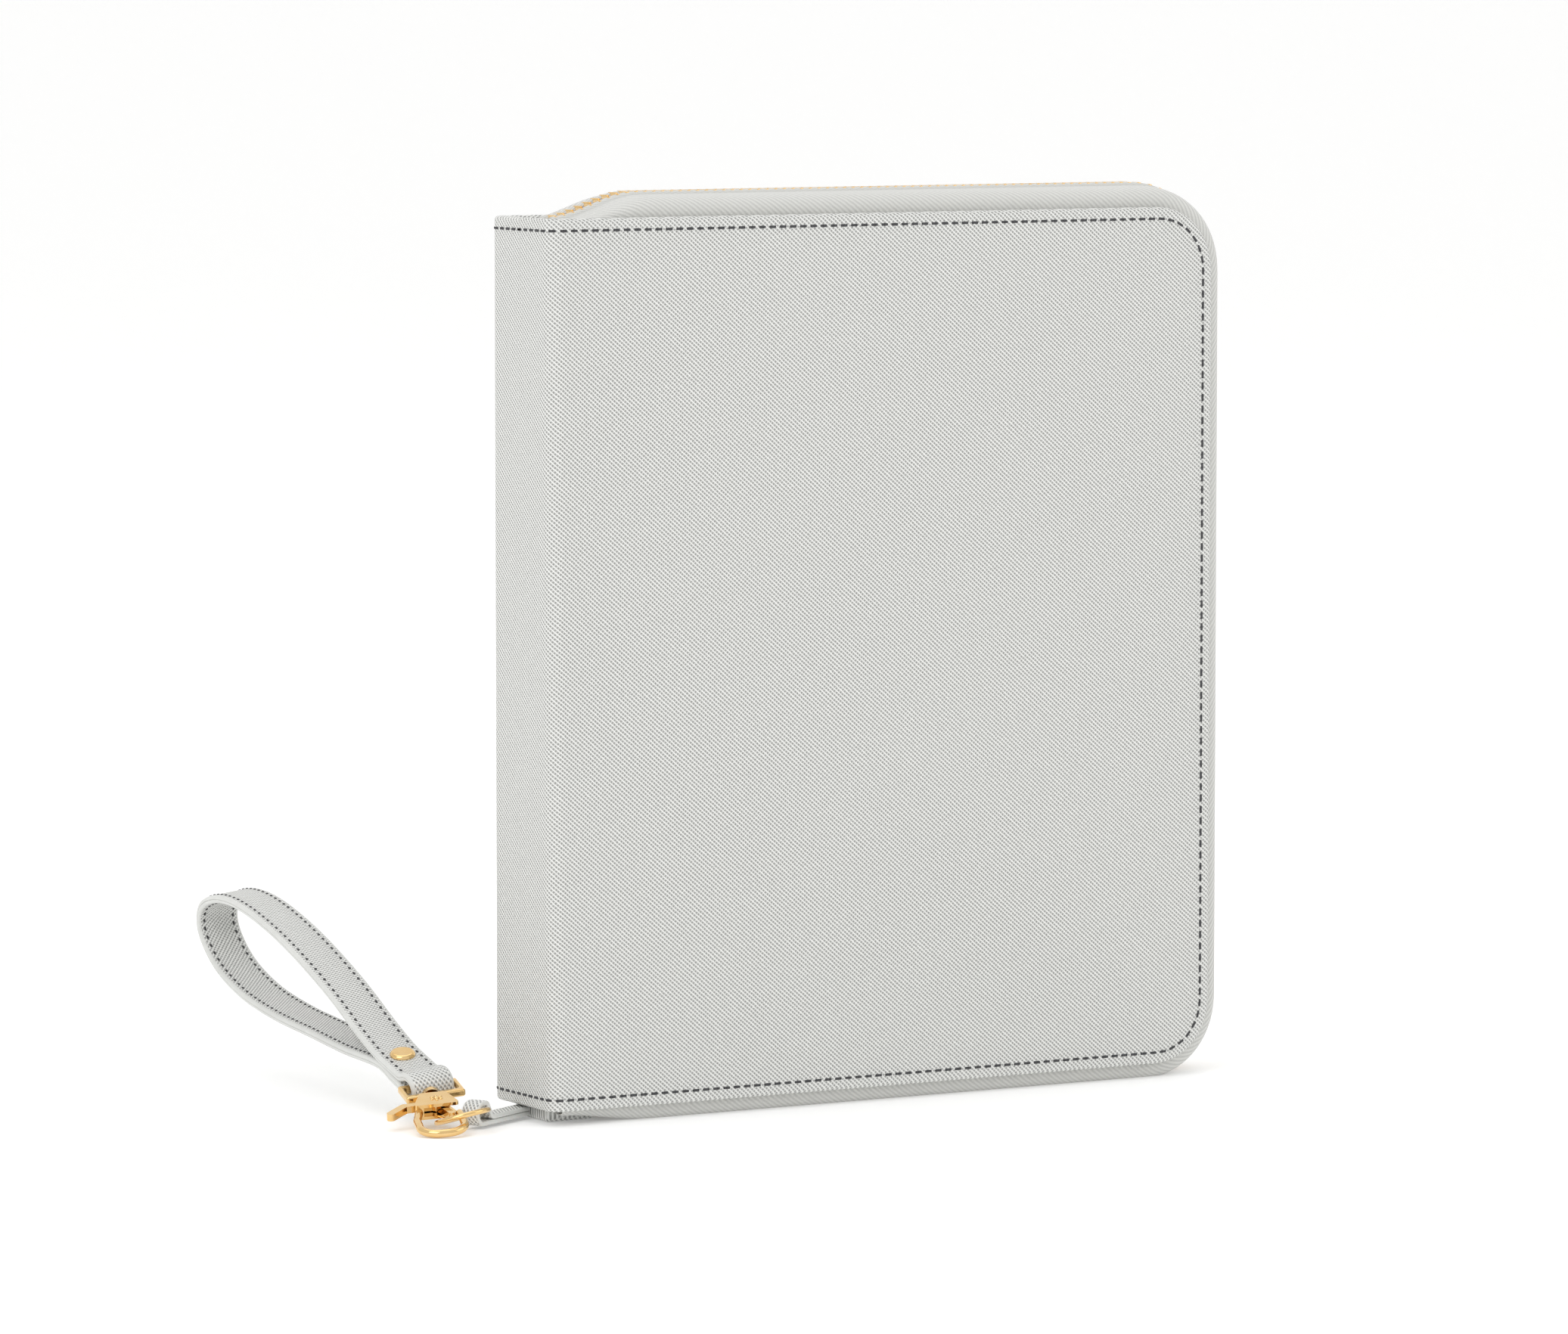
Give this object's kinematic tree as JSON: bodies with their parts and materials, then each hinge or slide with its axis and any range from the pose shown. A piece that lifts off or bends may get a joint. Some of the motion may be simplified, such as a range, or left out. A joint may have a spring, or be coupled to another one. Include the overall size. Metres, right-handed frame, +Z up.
{
  "type": "zip-round prayer book case",
  "caption": "Upright zip-round leatherette book case: hinged covers, text block, zip slider and a clip-on wrist strap loop.",
  "frame": {"origin": "on the standing surface, at the middle of the foot patch under the spine end of the zip", "axes": "+X from the spine to the fore edge, -Y is the front cover, +Z up"},
  "size_m": [0.2652, 0.1839, 0.2576],
  "materials": {
    "leather": "cross-hatch embossed leatherette, satin",
    "strap_leather": "cross-hatch embossed leatherette with painted edges",
    "board": "grey board",
    "lining": "fine woven lining",
    "zip_tape": "ribbed woven tape",
    "gold_teeth": "polished",
    "gold": "polished light gold plate",
    "paper": "cut page edges",
    "band": "woven head band",
    "ribbon": "satin ribbon"
  },
  "bodies": {
    "spine": {"spine_leather": "leather", "spine_stiffener": "board", "spine_lining": "lining", "text_block": "paper", "head_band": "band", "tail_band": "band", "ribbon_marker": "ribbon", "foot_patch": "leather", "ring_tab": "leather"},
    "front_cover": {"front_cover_leather": "leather", "front_cover_board": "board", "front_cover_lining": "lining", "front_pocket": "lining", "front_zip_tape": "zip_tape", "front_zip_teeth": "gold_teeth"},
    "back_cover": {"back_cover_leather": "leather", "back_cover_board": "board", "back_cover_lining": "lining", "back_pocket": "lining", "back_zip_tape": "zip_tape", "back_zip_teeth": "gold_teeth"},
    "leaves": {"front_leaves": "paper"},
    "slider": {"zip_slider": "gold"},
    "pull": {"zip_pull": "gold"},
    "ring": {"ring": "gold"},
    "clasp": {"clasp_body": "gold", "clasp_hook": "gold", "clasp_pin": "gold"},
    "lever": {"clasp_lever": "gold"},
    "bail": {"bail": "gold"},
    "strap": {"strap_face": "strap_leather", "strap_lining": "strap_leather", "strap_rivet": "gold"}
  },
  "joints": [
    {"name": "front_cover_hinge", "type": "hinge", "parent": "spine", "child": "front_cover", "pos_m": [-0.0104, -0.0174, 0], "axis": [0, 0, -1], "range_deg": [0, 90]},
    {"name": "back_cover_hinge", "type": "hinge", "parent": "spine", "child": "back_cover", "pos_m": [-0.0104, 0.0174, 0], "axis": [0, 0, 1], "range_deg": [0, 90]},
    {"name": "leaves_turn", "type": "hinge", "parent": "spine", "child": "leaves", "pos_m": [-0.0022, -0.0094, 0], "axis": [0, 0, -1], "range_deg": [0, 81]},
    {"name": "slider_run", "type": "slide", "parent": "spine", "child": "slider", "axis": [1, 0, 0], "range_m": [0, 0.16]},
    {"name": "pull_swing", "type": "hinge", "parent": "slider", "child": "pull", "pos_m": [0.0253, 0, 0.0005], "axis": [0, 1, 0], "range_deg": [0, 120]},
    {"name": "ring_swing", "type": "hinge", "parent": "spine", "child": "ring", "pos_m": [-0.03012, -0.0071, 0.00439], "axis": [-0.5, 0.866, 0], "range_deg": [-45, 10]},
    {"name": "clasp_roll", "type": "hinge", "parent": "ring", "child": "clasp", "pos_m": [-0.03644, -0.01075, 0.00439], "axis": [-0.3373, -0.9135, -0.2277], "range_deg": [-15, 2]},
    {"name": "clasp_swivel", "type": "hinge", "parent": "clasp", "child": "bail", "pos_m": [-0.034, 0.014, 0.0095], "axis": [-0.3373, -0.9135, -0.2277], "continuous": true},
    {"name": "strap_swing", "type": "hinge", "parent": "bail", "child": "strap", "pos_m": [-0.034, 0.014, 0.0095], "axis": [0.9865, -0.0863, 0.1392], "range_deg": [-15, 60]},
    {"name": "lever_press", "type": "hinge", "parent": "clasp", "child": "lever", "pos_m": [-0.03843, 0.00057, 0.00624], "axis": [0.1532, 0.1854, -0.9707], "range_deg": [0, 14], "stiffness_Nm_per_rad": 0.01, "springref_deg": -5.73}
  ],
  "couplings": [
    {"joint": "leaves_turn", "follows": "front_cover_hinge", "ratio": 0.9}
  ]
}
